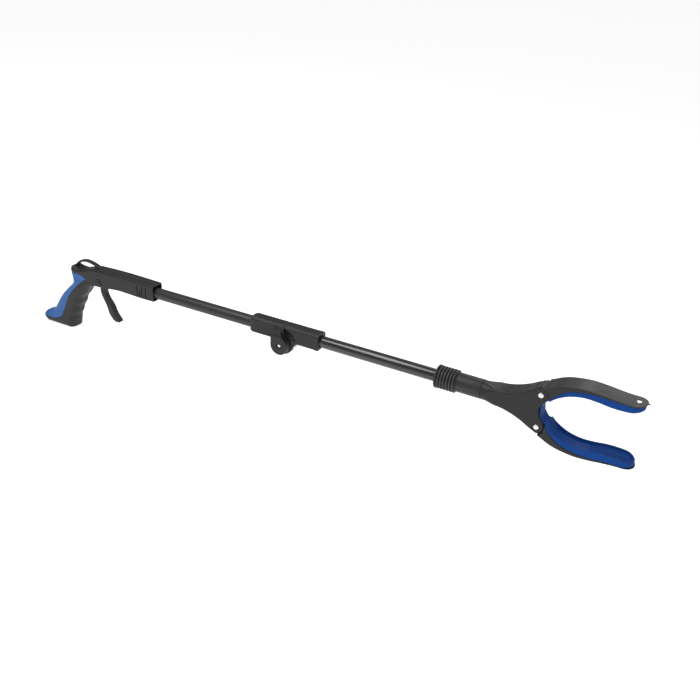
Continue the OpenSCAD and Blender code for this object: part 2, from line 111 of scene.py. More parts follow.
def arc(centre, radius, start, end, steps=10):
    """Points along a circle from one angle to another, in degrees."""
    angles = np.radians(np.linspace(start, end, steps + 1))
    return np.array(centre) + radius * np.stack([np.cos(angles), np.sin(angles)], axis=1)


def smooth(t):
    """0 below 0, 1 above 1, and an even slope between."""
    t = np.clip(t, 0, 1)
    return t * t * (3 - 2 * t)


# ---------- signed distances ----------

class Cells:
    """Sample points of one piece, in a box from low to high."""

    def __init__(self, low, high, step):
        count = [int(math.ceil((b - a) / step)) + 1 for a, b in zip(low, high)]
        axes = [a + step * np.arange(n, dtype=np.float32) for a, n in zip(low, count)]
        self.low = np.array(low)
        self.step = step
        self.shape = tuple(count)
        self.x = axes[0][:, None, None]
        self.y = axes[1][None, :, None]
        self.z = axes[2][None, None, :]
        self.side = np.abs(self.y)


def nearest_segment(points, u, v, closed):
    """Distance to a chain of segments, and whether a closed chain is round each point."""
    ends = np.roll(points, -1, axis=0) if closed else points[1:]
    nearest = np.float32(1e9)
    inside = False
    for (u0, v0), (u1, v1) in zip(points, ends):
        du, dv = u1 - u0, v1 - v0
        length2 = du * du + dv * dv
        if length2 < 1e-9:
            continue
        t = np.clip(((u - u0) * du + (v - v0) * dv) / length2, 0, 1)
        nearest = np.minimum(nearest, (u - u0 - t * du) ** 2 + (v - v0 - t * dv) ** 2)
        if dv != 0:
            inside = inside ^ (((v0 <= v) != (v1 <= v)) & (u < u0 + (v - v0) * du / dv))
    return np.sqrt(nearest), inside


def outline(points, u, v):
    """Signed distance to a closed outline."""
    distance, inside = nearest_segment(np.array(points), u, v, True)
    return np.where(inside, -distance, distance)


def line(points, u, v):
    """Distance to an open line."""
    return nearest_segment(np.array(points), u, v, False)[0]


def disc(centre, radius, c):
    """Round rod across the part, seen from its side."""
    return np.hypot(c.x - centre[0], c.z - centre[1]) - radius


def rod(radius, c, z=0.0):
    """Round rod along the tube axis."""
    return np.hypot(c.y, c.z - z) - radius


def span(t, low, high):
    """Slice between two planes."""
    return np.maximum(low - t, t - high)


def box(u, v, low, high, edge=0.0):
    """Rectangle with rounded corners."""
    du = np.abs(u - (low[0] + high[0]) / 2) - (high[0] - low[0]) / 2 + edge
    dv = np.abs(v - (low[1] + high[1]) / 2) - (high[1] - low[1]) / 2 + edge
    corner = np.hypot(np.maximum(du, 0), np.maximum(dv, 0))
    return np.minimum(np.maximum(du, dv), 0) + corner - edge


def both(a, b, edge=0.0):
    """Where a and b overlap, with the edge between them rounded."""
    corner = np.hypot(np.maximum(a + edge, 0), np.maximum(b + edge, 0))
    return np.minimum(np.maximum(a, b), -edge) + corner


def either(a, b, fillet=0.0):
    """a and b together, with a fillet between them."""
    return -both(-a, -b, fillet)


def without(a, b, edge=0.0):
    """a with b cut out of it."""
    return both(a, -b, edge)


# ---------- making pieces ----------

def place(name, mesh, body, finish, nodes):
    """Puts a finished mesh in the scene, riding on a body if one is given, in place of its CAD nodes."""
    mesh.materials.append(finish["material"])
    thing = bpy.data.objects.new(name, mesh)
    bpy.context.scene.collection.objects.link(thing)
    if body:
        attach(thing, body)
    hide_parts(*nodes)
    return thing


def piece(name, points, faces, body, finish, nodes=()):
    """A piece from points in metres and their faces."""
    mesh = bpy.data.meshes.new(name)
    mesh.from_pydata(points, [], faces)
    mesh.validate()
    mesh.shade_smooth()
    return place(name, mesh, body, finish, nodes)


def volume(points, quads):
    """Signed volume of a closed mesh of quads."""
    a, b, c, d = (points[quads[:, k]] for k in range(4))
    return float(np.sum(np.cross(a, b) * c) + np.sum(np.cross(a, c) * d)) / 6


def mould(name, station, c, distance, body, finish, nodes, mirrored=False):
    """Meshes a signed distance and places it at its station. mirrored turns it upside down."""
    grid = openvdb.FloatGrid(3 * c.step)
    values = np.broadcast_to(distance, c.shape)
    grid.copyFromArray(np.array(values, dtype=np.float32))
    points, quads = grid.convertToQuads(0.0)
    points = points * c.step + c.low
    if mirrored:
        points[:, 2] *= -1
    if volume(points, quads) < 0:
        quads = quads[:, ::-1]
    points = (points + np.array(station)) * MM
    return piece(name, points, quads, body, finish, nodes)


def bevelled(profile, cut=0.35, steps=3):
    """A closed profile with its corners rounded. Corners on the axis stay sharp."""
    p = np.array(profile, float)
    rounded = []
    for before, corner, after in zip(np.roll(p, 1, axis=0), p, np.roll(p, -1, axis=0)):
        if corner[1] < 1e-6:
            rounded.append(corner)
            continue
        ends = []
        for other in (before, after):
            reach = other - corner
            length = np.linalg.norm(reach)
            ends.append(corner + reach / length * min(cut, 0.45 * length))
        for t in np.linspace(0, 1, steps + 1):
            rounded.append((1 - t) ** 2 * ends[0] + 2 * t * (1 - t) * corner + t * t * ends[1])
    return np.array(rounded)


def turned(name, lathe_parts, body, finish, nodes, sides=96):
    """Lathe parts in one mesh. Each is (centre, axis letter, closed profile of (along, radius))."""
    turn = bmesh.new()
    angles = np.radians(np.arange(sides) * 360 / sides)
    for centre, axis, profile in lathe_parts:
        rings = []
        for along, radius in profile:
            ring = []
            for angle in angles:
                u, v = radius * math.cos(angle), radius * math.sin(angle)
                offset = {"x": (along, u, v), "y": (u, along, v), "z": (u, v, along)}[axis]
                ring.append(turn.verts.new((Vector(centre) + Vector(offset)) * MM))
            rings.append(ring)
        for ring, following in zip(rings, rings[1:] + rings[:1]):
            for k in range(sides):
                j = (k + 1) % sides
                turn.faces.new((ring[k], ring[j], following[j], following[k]))
    bmesh.ops.remove_doubles(turn, verts=turn.verts, dist=1e-7)
    bmesh.ops.recalc_face_normals(turn, faces=turn.faces)
    mesh = bpy.data.meshes.new(name)
    turn.to_mesh(mesh)
    turn.free()
    mesh.shade_smooth()
    mesh.set_sharp_from_angle(angle=math.radians(SHARP_ANGLE))
    return place(name, mesh, body, finish, nodes)


# ---------- materials ----------

def surface(slot, colour, rough, metal=0.0, mottle=0.08, grain=0.6, depth=0.02, wear=0.15, coat=0.0,
            shine=0.35, brushed=False):
    """A moulded, painted or metal surface: uneven colour and shine, a fine grain and paler edges.

    grain is the size of the grain and depth its height, both in mm; wear is how far edges go pale
    and shine is how much a surface that isn't metal mirrors."""
    material = bpy.data.materials.new(slot)
    material.use_nodes = True
    tree = material.node_tree
    shader = tree.nodes["Principled BSDF"]
    coords = tree.nodes.new("ShaderNodeTexCoord").outputs["Object"]
    join = tree.links.new

    def noise(size, detail, stretch=(1, 1, 1)):
        mapping = tree.nodes.new("ShaderNodeMapping")
        mapping.inputs["Scale"].default_value = [s / (size * MM) for s in stretch]
        join(coords, mapping.inputs["Vector"])
        texture = tree.nodes.new("ShaderNodeTexNoise")
        texture.inputs["Scale"].default_value = 1.0
        texture.inputs["Detail"].default_value = detail
        join(mapping.outputs["Vector"], texture.inputs["Vector"])
        return texture.outputs["Fac"]

    def fit_range(value, low, high, to_low, to_high):
        ranged = tree.nodes.new("ShaderNodeMapRange")
        for key, number in (("From Min", low), ("From Max", high), ("To Min", to_low), ("To Max", to_high)):
            ranged.inputs[key].default_value = number
        join(value, ranged.inputs["Value"])
        return ranged.outputs["Result"]

    def mix(factor, a, b):
        blend = tree.nodes.new("ShaderNodeMix")
        blend.data_type = "RGBA"
        join(factor, blend.inputs["Factor"])
        for key, value in (("A", a), ("B", b)):
            socket = [s for s in blend.inputs if s.name == key and s.type == "RGBA"][0]
            if isinstance(value, tuple):
                socket.default_value = (*value, 1)
            else:
                join(value, socket)
        return [s for s in blend.outputs if s.type == "RGBA"][0]

    cloud = noise(18, 3)
    fine = noise(grain, 2, (0.06, 1, 1) if brushed else (1, 1, 1))
    darker = tuple(v * (1 - mottle) for v in colour)
    lighter = tuple(min(1, v * (1 + mottle)) for v in colour)
    worn = tuple(v + (1 - v) * wear * 0.35 for v in colour)
    tone = mix(fit_range(cloud, 0.35, 0.65, 0, 1), darker, lighter)
    edges = tree.nodes.new("ShaderNodeNewGeometry").outputs["Pointiness"]
    tone = mix(fit_range(edges, 0.51, 0.58, 0, 1), tone, worn)
    join(tone, shader.inputs["Base Color"])
    join(fit_range(cloud, 0.3, 0.7, rough - 0.05, rough + 0.05), shader.inputs["Roughness"])
    bump = tree.nodes.new("ShaderNodeBump")
    bump.inputs["Strength"].default_value = 1.0
    bump.inputs["Distance"].default_value = depth * MM
    join(fine, bump.inputs["Height"])
    join(bump.outputs["Normal"], shader.inputs["Normal"])
    shader.inputs["Metallic"].default_value = metal
    shader.inputs["Coat Weight"].default_value = coat
    shader.inputs["Coat Roughness"].default_value = 0.08
    shader.inputs["Specular IOR Level"].default_value = shine
    return {"slot": slot, "material": material}


BLACK = surface("black_plastic", (0.013, 0.013, 0.0125), 0.5, grain=0.5, depth=0.02, wear=0.1)
INNER = surface("inner_plastic", (0.3, 0.3, 0.29), 0.45)
GRIP = surface("grip_rubber", (0.022, 0.105, 0.32), 0.55, grain=0.8, depth=0.03, wear=0.1)
PAD = surface("pad_rubber", (0.003, 0.048, 0.23), 0.6, grain=0.7, depth=0.02, wear=0.08, shine=0.12)
SLEEVE = surface("sleeve_rubber", (0.016, 0.016, 0.016), 0.55, grain=0.4, depth=0.02, wear=0.2)
TUBE_MATT = surface("tube_matt", (0.012, 0.012, 0.012), 0.42, grain=0.3, depth=0.008)
TUBE_GLOSS = surface("tube_gloss", (0.004, 0.004, 0.0045), 0.22, grain=6, depth=0.01, coat=0.5)
STEEL = surface("steel", (0.72, 0.72, 0.72), 0.25, metal=1.0, mottle=0.04, grain=0.3, depth=0.004,
                brushed=True)
FINISHES = {f["slot"]: f for f in (BLACK, INNER, GRIP, PAD, SLEEVE, TUBE_MATT, TUBE_GLOSS, STEEL)}


# ---------- handle, from its front face ----------

GRIP_BASE_Z = -92.0
HANDLE_HALF_W = 10.5
GRIP_MIDDLE = (-146, -30)
GRIP_FORWARD = (0.819, -0.574)     # from the middle of the grip to its finger side
GROOVE_PITCH = 17
GROOVE_DEPTH = 0.6
SLOT_DEPTH = 1.8                   # upright slots in the sides
HOOK_DEPTH = 1.6                   # hook-shaped mark above the trigger
LOOP_R = 1.5                       # half thickness of the hanging loop's strap
UNDERSIDE = [(4, -10.5), (-22, -11), (-43, -10.2), (-64, -9.8), (-82, -11.6), (-98, -13.4), (-110, -14.2),
             (-119, -18.5), (-126, -27), (-133.5, -36.5), (-139, -47), (-144, -59), (-150, -72),
             (-153.5, -84), (-156, -97)]
HEEL = [(-206, -97), (-213.5, -91), (-216.5, -84.5), (-212, -79), (-203, -75)]
BACK = [(-194, -70), (-184.5, -54.5), (-175, -41.5), (-161.5, -27.8), (-152.5, -18.5), (-150.5, -12),
        (-151.5, -5), (-153, 2), (-152.5, 6.5), (-149.5, 9), (-145, 8.4)]
TOP = [(-141, 6.6), (-133, 5.8), (-123, 8.6), (-112, 12.2), (-98, 13.6), (-55, 14.6), (4, 13.5)]
HANDLE_SIDE = np.concatenate([curve(UNDERSIDE), curve(HEEL), curve(BACK), curve(TOP)])

BACKSTRAP_EDGE = curve([(-156, -0.6), (-141, -0.6), (-130.5, -2), (-123.5, -5.4), (-129, -10), (-142, -22),
                        (-154, -35), (-163, -50), (-170, -66), (-176, -77), (-186, -83), (-200, -84.5),
                        (-218, -84.5)])
BACKSTRAP_SIDE = np.concatenate([[(-230, -0.6)], BACKSTRAP_EDGE, [(-230, -84.5)]])
BACKSTRAP_T = 2.6

LOOP_PATH = curve([(-147, -1), (-146.5, 6), (-142.5, 12.8), (-135.5, 17.2), (-126, 19.2), (-115.5, 18),
                   (-106, 15), (-97, 10.5)])
TRIGGER_PIVOT = (-90, 6.5)
CABLE_Z = -1.5
HANDLE_SCREWS = [(-23, 10.3), (-57, 7.6), (-129, -6), (-150, -45), (-163, -82)]
SIDE_SLOTS = [(-27.7, -7, 8), (-23.7, -7, 2), (-19.7, -7, 8), (-12.5, -7, 8)]


def handle_form(c):
    """Outer form of the handle: a square-shouldered body that swells into a rounded grip."""
    grip = smooth((-c.z - 6) / 18)
    heel = smooth((-c.z - 62) / 22)
    base = smooth((-c.z - 70) / 14)
    horn = smooth((-137 - c.x) / 10)
    half_w = HANDLE_HALF_W + 1.9 * grip + 1.1 * heel
    edge = 3.4 + 5.1 * grip + 2.5 * horn
    across = GRIP_FORWARD[0] * (c.x - GRIP_MIDDLE[0]) + GRIP_FORWARD[1] * (c.z - GRIP_MIDDLE[1])
    finger_side = smooth((across - 4) / 10) * smooth((-c.z - 24) / 8) * (1 - base)
    grooves = GROOVE_DEPTH * finger_side * np.cos(2 * math.pi * (c.z + 39.6) / GROOVE_PITCH)
    form = both(outline(HANDLE_SIDE, c.x, c.z) + grooves, c.side - half_w, edge)
    form = both(form, GRIP_BASE_Z - c.z, 1.6)
    return both(form, c.x, 0.7)


def handle_hollows(c):
    """Everything cut out of the handle shells."""
    machine_room = [(-44, -6.5), (-70, -6.5), (-84, -8.5), (-112, -8.5), (-117, -4), (-117, 2), (-108, 8),
                    (-98, 11.2), (-44, 11.2)]
    swing = [(-88.5, -5), (-88.5, -30), (-119, -30), (-119, -15), (-116, -4)]
    cuts = both(outline(machine_room, c.x, c.z), c.side - 7)
    cuts = either(cuts, both(outline(swing, c.x, c.z), c.side - 5))
    cuts = either(cuts, both(rod(TUBE_R + FIT, c), span(c.x, -45, 2)))
    cuts = either(cuts, both(box(c.y, c.z, (-8.8, -8.9), (8.8, 11), 2), span(c.x, -7, 2), 0.4))
    cuts = either(cuts, both(disc(TRIGGER_PIVOT, PIN_R + FIT, c), c.side - 8.5))
    cuts = either(cuts, both(line(LOOP_PATH, c.x, c.z) - (LOOP_R + 0.15), c.side - 3.2))
    for x, z in HANDLE_SCREWS:
        seat = 10.5 if z < -10 else 7.5
        cuts = either(cuts, both(disc((x, z), 2.8, c), seat - c.y))
    for x, low, high in SIDE_SLOTS:
        slot = box(c.x, c.z, (x - 1, low), (x + 1, high), 0.5)
        cuts = either(cuts, both(slot, HANDLE_HALF_W - SLOT_DEPTH - c.side))
    hook = line(curve([(-101, 0), (-98, -1.2), (-95.5, -3.8), (-93, -6.5)]), c.x, c.z) - 1.0
    return either(cuts, both(hook, HANDLE_HALF_W - HOOK_DEPTH - c.side))


def handle_shell(side, name, node):
    """One half of the handle, split at the middle plane."""
    low = (-219, -15.5, -94) if side < 0 else (-219, -1, -94)
    c = Cells(low, (3, low[1] + 16.5, 16.5), 0.5)
    form = handle_form(c)
    strap = outline(BACKSTRAP_SIDE, c.x, c.z)
    shell = either(without(form, strap, 0.7), form + BACKSTRAP_T + 0.1)
    shell = without(shell, handle_hollows(c), 0.25)
    half = both(shell, -side * c.y + 0.05, 0.4)
    mould(name, HANDLE, c, half, "handle", BLACK, [node])


def backstrap():
    """Soft skin over the back of the grip and the heel."""
    c = Cells((-219, -15.5, -88), (-121, 15.5, 5), 0.5)
    form = handle_form(c)
    strap = outline(BACKSTRAP_SIDE, c.x, c.z)
    skin = both(both(form - 0.15, strap + 0.1, 0.8), -(form + BACKSTRAP_T))
    skin = without(skin, both(line(LOOP_PATH, c.x, c.z) - (LOOP_R + 0.15), c.side - 3.2))
    mould("grip_backstrap.moulded", HANDLE, c, skin, "handle", GRIP, ["grip_backstrap"])


def hanging_loop():
    """Arched strap over the saddle of the handle."""
    c = Cells((-156, -4, -4), (-93, 4, 25), 0.3)
    strap = both(line(LOOP_PATH, c.x, c.z) - LOOP_R, c.side - 3, 0.7)
    mould("hanging_loop.moulded", HANDLE, c, strap, "handle", BLACK, ["hanging_loop"])


def trigger():
    """Curved trigger blade with the seat of the cable's barrel."""
    rear = curve([(-95, 6.5), (-98.5, -2), (-101.5, -9), (-102.6, -16), (-101.6, -24), (-98, -32.5),
                  (-94, -39.5), (-91.5, -46), (-88.3, -54.5), (-82.5, -61.5)])
    tip = curve([(-82, -62), (-77.5, -64), (-72, -63.8)], 4)
    front = curve([(-69, -62), (-73, -57), (-78.2, -50), (-81, -43), (-84.6, -37), (-90, -30),
                   (-93.6, -21), (-92, -12), (-87.5, -5), (-85.2, 1), (-85.2, 6.5)])
    c = Cells((-106, -5.6, -66), (-66, 5.6, 12.5), 0.35)
    blade = either(outline(np.concatenate([rear, tip, front]), c.x, c.z), disc(TRIGGER_PIVOT, 4.5, c), 1)
    form = both(blade, c.side - 4.5, 1 + 0.7 * smooth((-c.z - 8) / 10))
    seat = box(c.x, c.z, (-92.3, CABLE_Z - 3.6), (-87.5, CABLE_Z + 2.4), 2)
    form = without(form, both(seat, c.side - 3.4))
    form = without(form, both(box(c.x, c.z, (-90, CABLE_Z - 3), (-60, CABLE_Z + 4.3)), c.side - 1.2))
    form = without(form, disc(TRIGGER_PIVOT, PIN_R + FIT, c))
    mould("trigger.moulded", HANDLE, c, form, "trigger", BLACK, ["trigger"])


# ---------- fold hinge, from its seam ----------

BLOCK_HALF_W = 9.5
BLOCK_TOP = 11.8
BLOCK_BOTTOM = -10.0
BLOCK_CHAMFER = 3.2
BLOCK_END = 52.0
EAR_OUT = 16.0
EAR_R = 12.5
KNUCKLE_HALF_W = 6.0
KNUCKLE_R = 15.0
POCKET_R = 25.0
BOLT_R = 2.0
BOLT_HEAD_R = 2.5
BOLT_SEAT = 3.2      # depth of the well for the screw's head
TUBE_STOP = 21.0


def block_section(c, grown=0.0):
    """End view of a hinge block: chamfered top edges and rounded bottom edges."""
    half = BLOCK_HALF_W + grown
    top = BLOCK_TOP + min(grown, 0)
    bottom = BLOCK_BOTTOM - min(grown, 0.2)
    section = both(c.side - half, span(c.z, bottom, top), 1.2)
    chamfer = (c.side + c.z - (half + top - BLOCK_CHAMFER)) / math.sqrt(2)
    return both(section, chamfer, 0.5)


def hinge_bore(c, side):
    """Tube socket on one side of the seam, and the cable hole through the middle."""
    socket = both(rod(TUBE_R + FIT, c), TUBE_STOP - side * c.x)
    return either(socket, both(rod(3.0, c), span(c.x, -TUBE_STOP - 1, TUBE_STOP + 1)))


def rear_block():
    """Rear half of the fold hinge: a quilted block with an ear on each side of the knuckle."""
    c = Cells((-54, -17.5, -30), (12, 17.5, 14), 0.4)
    px, pz = PIVOT
    block = both(block_section(c), span(c.x, -BLOCK_END + 2.4, -0.1), 0.7)
    collar = both(block_section(c, -0.9), span(c.x, -BLOCK_END, -0.1), 0.5)
    block = either(block, collar, 0.2)
    hatch_zone = box(c.x, c.z, (-45, -8), (-19, 6.5), 2)
    turn = 2 * math.pi / 6.5
    quilting = np.minimum(np.abs(np.sin(turn * (c.x + c.z))), np.abs(np.sin(turn * (c.x - c.z))))
    dents = (1 - smooth(quilting / 0.7)) * smooth(-hatch_zone / 1.5)
    block = block + 0.5 * dents * smooth((c.side - 8) / 1)
    ear_side = [(px - EAR_R, pz), (px - EAR_R, 8), (-2.5, 8), (-2.5, 2.5), (0.5, -2.5), (4.5, -6.4), (px, pz)]
    ear_face = EAR_OUT - 6.3 * smooth((c.z + 4) / 12)
    ear = either(disc(PIVOT, EAR_R, c), outline(ear_side, c.x, c.z))
    ear = both(both(ear, c.side - ear_face, 0.9), KNUCKLE_HALF_W + 0.2 - c.side, 0.4)
    form = either(block, ear, 0.8)
    form = without(form, both(disc(PIVOT, KNUCKLE_R + 0.4, c), c.side - KNUCKLE_HALF_W - 0.2))
    form = without(form, disc(PIVOT, BOLT_R + FIT, c))
    near_well = both(disc(PIVOT, BOLT_HEAD_R + 0.8, c), c.y + EAR_OUT - BOLT_SEAT)
    far_well = both(disc(PIVOT, 4.0, c), EAR_OUT - 4 - c.y)
    form = without(form, either(near_well, far_well), 0.3)
    form = without(form, hinge_bore(c, -1))
    mould("rear_hinge_block.moulded", SEAM, c, form, "handle", BLACK, ["rear_hinge_block"])


def front_block():
    """Front half of the fold hinge: a block with the pocket for the ears and the knuckle."""
    c = Cells((-20, -12, -33), (54, 12, 14), 0.4)
    px, pz = PIVOT
    block = both(block_section(c), span(c.x, 0.1, BLOCK_END - 5), 0.7)
    lip = both(block_section(c, 0.5), span(c.x, BLOCK_END - 6.5, BLOCK_END), 0.6)
    block = either(block, lip, 0.3)
    rim = both(np.abs(disc(PIVOT, POCKET_R + 0.6, c)) - 0.6, c.side - BLOCK_HALF_W - 0.35, 0.25)
    rim = both(rim, span(c.z, BLOCK_BOTTOM + 0.5, BLOCK_TOP - BLOCK_CHAMFER))
    block = either(block, both(rim, 0.1 - c.x), 0.3)
    pocket = both(disc(PIVOT, POCKET_R, c), 4.2 - c.side)
    block = without(block, pocket, 0.3)
    knuckle = either(disc(PIVOT, KNUCKLE_R, c), box(c.x, c.z, (0.1, pz + 2), (11.1, pz + 12)))
    knuckle = both(knuckle, c.side - KNUCKLE_HALF_W, 0.5)
    form = either(block, knuckle, 0.3)
    groove = both(line(arc(PIVOT, 17.5, 0, 270, 24), c.x, c.z) - 5.5, c.side - 1.6)
    form = without(form, both(groove, np.where((c.x > 3) | (c.z > 4), 1.0, -1.0)), 0.2)
    form = without(form, disc(PIVOT, BOLT_R + FIT, c))
    lock_room = both(box(c.x, c.z, (px + 7, pz - 5.2), (px + 27, pz + 1.2)), c.side - 3.2)
    form = without(form, lock_room, 0.2)
    form = without(form, hinge_bore(c, 1))
    mould("front_hinge_block.moulded", SEAM, c, form, "front_section", BLACK, ["front_hinge_block"])


def tubes():
    """Rear tube with a matt finish and front tube with a gloss one."""
    wall = TUBE_R - 1
    rear_start = HANDLE.x - SEAM.x - 44.8
    front_end = COLLAR.x - SEAM.x + 46
    for name, body, finish, start, end in (
        ("rear_tube", "handle", TUBE_MATT, rear_start, -TUBE_STOP),
        ("front_tube", "front_section", TUBE_GLOSS, TUBE_STOP, front_end),
    ):
        profile = bevelled([(start, wall), (start, TUBE_R), (end, TUBE_R), (end, wall)], 0.3)
        turned(name + ".drawn", [(SEAM, "x", profile)], body, finish, [name])


def pivot_screw():
    """Domed screw head in the near ear."""
    x, z = SEAM.x + PIVOT[0], SEAM.z + PIVOT[1]
    seat = -EAR_OUT + BOLT_SEAT
    turns = np.linspace(0, math.pi / 2, 9)
    dome = [(seat - 2.3 + 0.9 * (1 - math.cos(a)), BOLT_HEAD_R * math.sin(a)) for a in turns]
    shank = [(seat - 0.05, BOLT_HEAD_R), (seat - 0.05, BOLT_R), (EAR_OUT - 1, BOLT_R), (EAR_OUT - 1, 0)]
    turned("fold_pivot_screw.turned", [((x, 0, z), "y", dome + shank)], "handle", STEEL,
           ["fold_pivot_screw"])


def cable_crossing():
    """Bare cable across the hinge seam, where the real one bends over the knuckle when the tool folds; here
    it is drawn at rest, rising from the cable's height to the axis, and rides on no body.
    """
    rings, sides, reach, radius = 48, 16, TUBE_STOP, 0.8
    points = []
    for i in range(rings + 1):
        t = i / rings
        drop = CABLE_Z * (1 - smooth(t))
        for k in range(sides):
            angle = 2 * math.pi * k / sides
            offset = (reach * (2 * t - 1), radius * math.cos(angle), drop + radius * math.sin(angle))
            points.append((SEAM + Vector(offset)) * MM)
    faces = []
    for i in range(rings):
        for k in range(sides):
            j = (k + 1) % sides
            faces.append((i * sides + k, i * sides + j, (i + 1) * sides + j, (i + 1) * sides + k))
    faces.append(tuple(range(sides))[::-1])
    faces.append(tuple(rings * sides + k for k in range(sides)))
    cable = piece("cable_crossing", points, faces, None, STEEL)
    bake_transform(cable)


# ---------- neck and head, from the rear face of the ribbed sleeve ----------

RING_ZONE = 27.0
RINGS = 7
RING_R = 14.6
NECK_R = 12.0
NECK_END = 58.5
JAW_PIVOT = (131.0, 21.0)
PLATE_IN = 9.5
PLATE_OUT = 12.5
NOSE_R = 9.0         # round ends of the yoke plates
HUB_R = 9.2          # root of a jaw, between the plates


def sleeve_and_neck():
    pitch = RING_ZONE / RINGS
    ridge = 0.56 * pitch
    bore = TUBE_R + FIT
    profile = [(0, bore)]
    for k in range(RINGS):
        radius = RING_R - (0.4 if k else 0)
        profile += [(k * pitch, radius), (k * pitch + ridge, radius)]
        profile += [(k * pitch + ridge, 12.2), ((k + 1) * pitch, 12.2)]
    profile += [(RING_ZONE, bore)]
    turned("ribbed_sleeve.turned", [(COLLAR, "x", bevelled(profile))], "front_section", SLEEVE,
           ["ribbed_sleeve"])
    spigot, flange, spigot_end = 7.0, 8.6, NECK_END + 14
    neck = [(46.2, 3), (46.2, bore), (RING_ZONE + 0.2, bore), (RING_ZONE + 0.2, NECK_R),
            (NECK_END - 0.15, NECK_R), (NECK_END - 0.15, spigot), (NECK_END + 6.5, spigot),
            (NECK_END + 6.5, flange), (NECK_END + 10, flange), (NECK_END + 10, spigot),
            (spigot_end, spigot), (spigot_end, 3)]
    turned("neck_collar.turned", [(COLLAR, "x", bevelled(neck, 0.5))], "front_section", BLACK,
           ["neck_collar"])


def mirrored_pair(upper):
    """An outline that is the same above and below the axis."""
    upper = np.asarray(upper)
    return np.concatenate([upper, upper[::-1] * (1, -1)])


def yoke_shell(side, name, node):
    """One half of the forked head."""
    low = (56, -14.5, -33) if side < 0 else (56, -1, -33)
    c = Cells(low, (143, low[1] + 15.5, 33), 0.4)
    flare = curve([(50, 11.9), (58.5, 11.6), (72, 10.4), (84, 10.8), (98, 14.2), (111, 19.6), (121, 25.2),
                   (JAW_PIVOT[0], JAW_PIVOT[1] + NOSE_R)])
    nose = arc(JAW_PIVOT, NOSE_R, 85, -30)
    crotch = curve([(134.8, 10.5), (131.4, 5), (130.2, 0)])
    silhouette = mirrored_pair(np.concatenate([flare, nose, crotch]))
    round_end = 1 - smooth((c.x - NECK_END - 1) / 20)
    half_w = PLATE_OUT - 0.5 * round_end
    form = both(outline(silhouette, c.x, c.z), c.side - half_w, 2.2 + 9.0 * round_end)
    form = both(form, NECK_END + 0.05 - c.x, 0.5)
    wall = curve([(86, 5.5), (98, 9.5), (111, 15.2), (121, 20.5)])
    roof = arc(JAW_PIVOT, HUB_R + 0.4, 180, 90)
    mouth = mirrored_pair(np.concatenate([wall, roof, [(JAW_PIVOT[0], 40), (160, 40)]]))
    form = without(form, both(outline(mouth, c.x, c.z), c.side - PLATE_IN, 0.3), 0.4)
    form = without(form, both(rod(7.1, c), NECK_END + 14.3 - c.x))
    form = without(form, both(rod(8.75, c), span(c.x, NECK_END + 6.3, NECK_END + 10.2)))
    form = without(form, both(rod(5.4, c), span(c.x, NECK_END + 14, 110)))
    for sign in (-1, 1):
        form = without(form, disc((JAW_PIVOT[0], sign * JAW_PIVOT[1]), PIN_R + FIT, c), 0.2)
        form = without(form, both(disc((76, sign * 7.6), 2.1, c), PLATE_OUT - 2 - c.y), 0.2)
    half = both(form, -side * c.y + 0.05, 0.35)
    mould(name, COLLAR, c, half, "head", BLACK, [node])


def jaw_pins():
    """Domed pins through the yoke plates."""
    head, shank = 3.2, PIN_R
    near = PLATE_OUT + 0.05
    dome = [(near + 0.5 + 0.85 * math.cos(a), head * math.sin(a)) for a in np.linspace(0, math.pi / 2, 9)]
    right_end = [(-along, radius) for along, radius in dome[::-1]]
    waist = [(near, head), (near, shank), (-near, shank), (-near, head)]
    profile = dome + waist + right_end
    parts = []
    for sign in (-1, 1):
        centre = COLLAR + Vector((JAW_PIVOT[0], 0, sign * JAW_PIVOT[1]))
        parts.append((centre, "y", profile))
    turned("jaw_pivot_pins.turned", parts, "head", STEEL, ["jaw_pivot_pins"], 64)


# ---------- jaws: drawn for the upper jaw and turned over for the lower one ----------

JAW_HALF_W = 14.0
JAW_TIP = 245.0
MAGNET_X = 235.0
MAGNET_R = 2.5
OUTER_EDGE = curve([(133, 30.6), (138, 32.9), (146, 37), (155, 40.2), (165, 42.2), (180, 43.7),
                    (197, 42.8), (210, 41.3), (222, 40.2), (232, 40), (245, 41)])
MIDDLE_EDGE = curve([(141, 17.5), (148, 26), (155, 31.6), (165, 36.5), (180, 39.8), (195, 40.4),
                     (209, 39.5), (222, 38.8), (232, 38.7), (245, 39.7)])
INNER_EDGE = curve([(141.5, 15.5), (148, 21.5), (156, 26.4), (165, 30.2), (179, 32.9), (195, 32.2),
                    (209, 30.5), (221, 30.3), (232, 31.1), (243.5, 33.6)])
CRANK_PIN = (JAW_PIVOT[0] - 6, JAW_PIVOT[1] - 14.5)


def jaw_band(c, outer, inner, half_w, tip, edge):
    """Wide part of a jaw between two edges, with a round tip and clear of the yoke's round ends."""
    side = outline(np.concatenate([outer, inner[::-1]]), c.x, c.z)
    plan = np.hypot(np.maximum(c.x - (tip - half_w), 0), c.y) - half_w
    return without(both(side, plan, edge), disc(JAW_PIVOT, NOSE_R + 0.25, c), 0.3)


